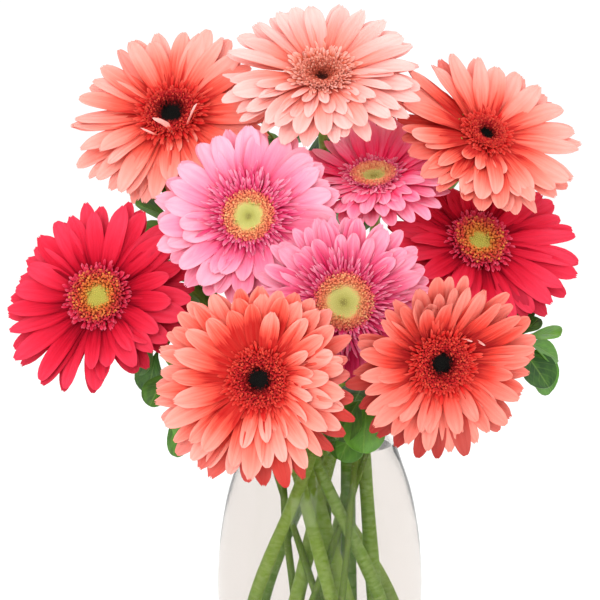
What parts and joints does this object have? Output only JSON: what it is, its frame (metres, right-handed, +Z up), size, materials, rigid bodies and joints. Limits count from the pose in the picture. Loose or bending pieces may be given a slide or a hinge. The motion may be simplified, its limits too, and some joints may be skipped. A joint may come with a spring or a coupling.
{
  "type": "gerberas in a vase",
  "caption": "Cut gerberas in coral, peach, pink and red with sprigs of round glossy leaves, standing in water in a full-bellied clear glass vase.",
  "frame": {"origin": "middle of the vase's flat underside, on the surface it stands on", "axes": "+Z up along the vase's axis, -Y the side that the flowers face, +X to the right of a viewer there"},
  "size_m": [0.3357, 0.1746, 0.4363],
  "materials": {
    "glass": "clear polished glass",
    "water": "clear water",
    "stem": "finely hairy green stem",
    "involucre": "overlapping green bracts",
    "twig": "thin green bark",
    "leaf": "glossy green leaf",
    "coral": "satin petal",
    "peach": "satin petal",
    "pink": "satin petal",
    "deep_pink": "satin petal",
    "red": "satin petal",
    "dark_eye": "packed dark florets",
    "pale_eye": "packed yellow-green florets"
  },
  "bodies": {
    "root": {"vase": "glass", "water": "water", "stem_1": "stem", "involucre_1": "involucre", "ray_florets_1": "coral", "disc_florets_1": "dark_eye", "stem_2": "stem", "involucre_2": "involucre", "ray_florets_2": "peach", "disc_florets_2": "dark_eye", "stem_3": "stem", "involucre_3": "involucre", "ray_florets_3": "coral", "disc_florets_3": "dark_eye", "stem_4": "stem", "involucre_4": "involucre", "ray_florets_4": "pink", "disc_florets_4": "pale_eye", "stem_5": "stem", "involucre_5": "involucre", "ray_florets_5": "deep_pink", "disc_florets_5": "pale_eye", "stem_6": "stem", "involucre_6": "involucre", "ray_florets_6": "red", "disc_florets_6": "pale_eye", "stem_7": "stem", "involucre_7": "involucre", "ray_florets_7": "red", "disc_florets_7": "pale_eye", "stem_8": "stem", "involucre_8": "involucre", "ray_florets_8": "pink", "disc_florets_8": "pale_eye", "stem_9": "stem", "involucre_9": "involucre", "ray_florets_9": "coral", "disc_florets_9": "dark_eye", "stem_10": "stem", "involucre_10": "involucre", "ray_florets_10": "coral", "disc_florets_10": "dark_eye", "twig_1": "twig", "leaf_1_1": "leaf", "leaf_1_2": "leaf", "leaf_1_3": "leaf", "twig_2": "twig", "leaf_2_1": "leaf", "leaf_2_2": "leaf", "leaf_2_3": "leaf", "leaf_2_4": "leaf", "twig_3": "twig", "leaf_3_1": "leaf", "leaf_3_2": "leaf", "twig_4": "twig", "leaf_4_1": "leaf", "leaf_4_2": "leaf", "twig_5": "twig", "leaf_5_1": "leaf", "leaf_5_2": "leaf"}
  },
  "joints": []
}
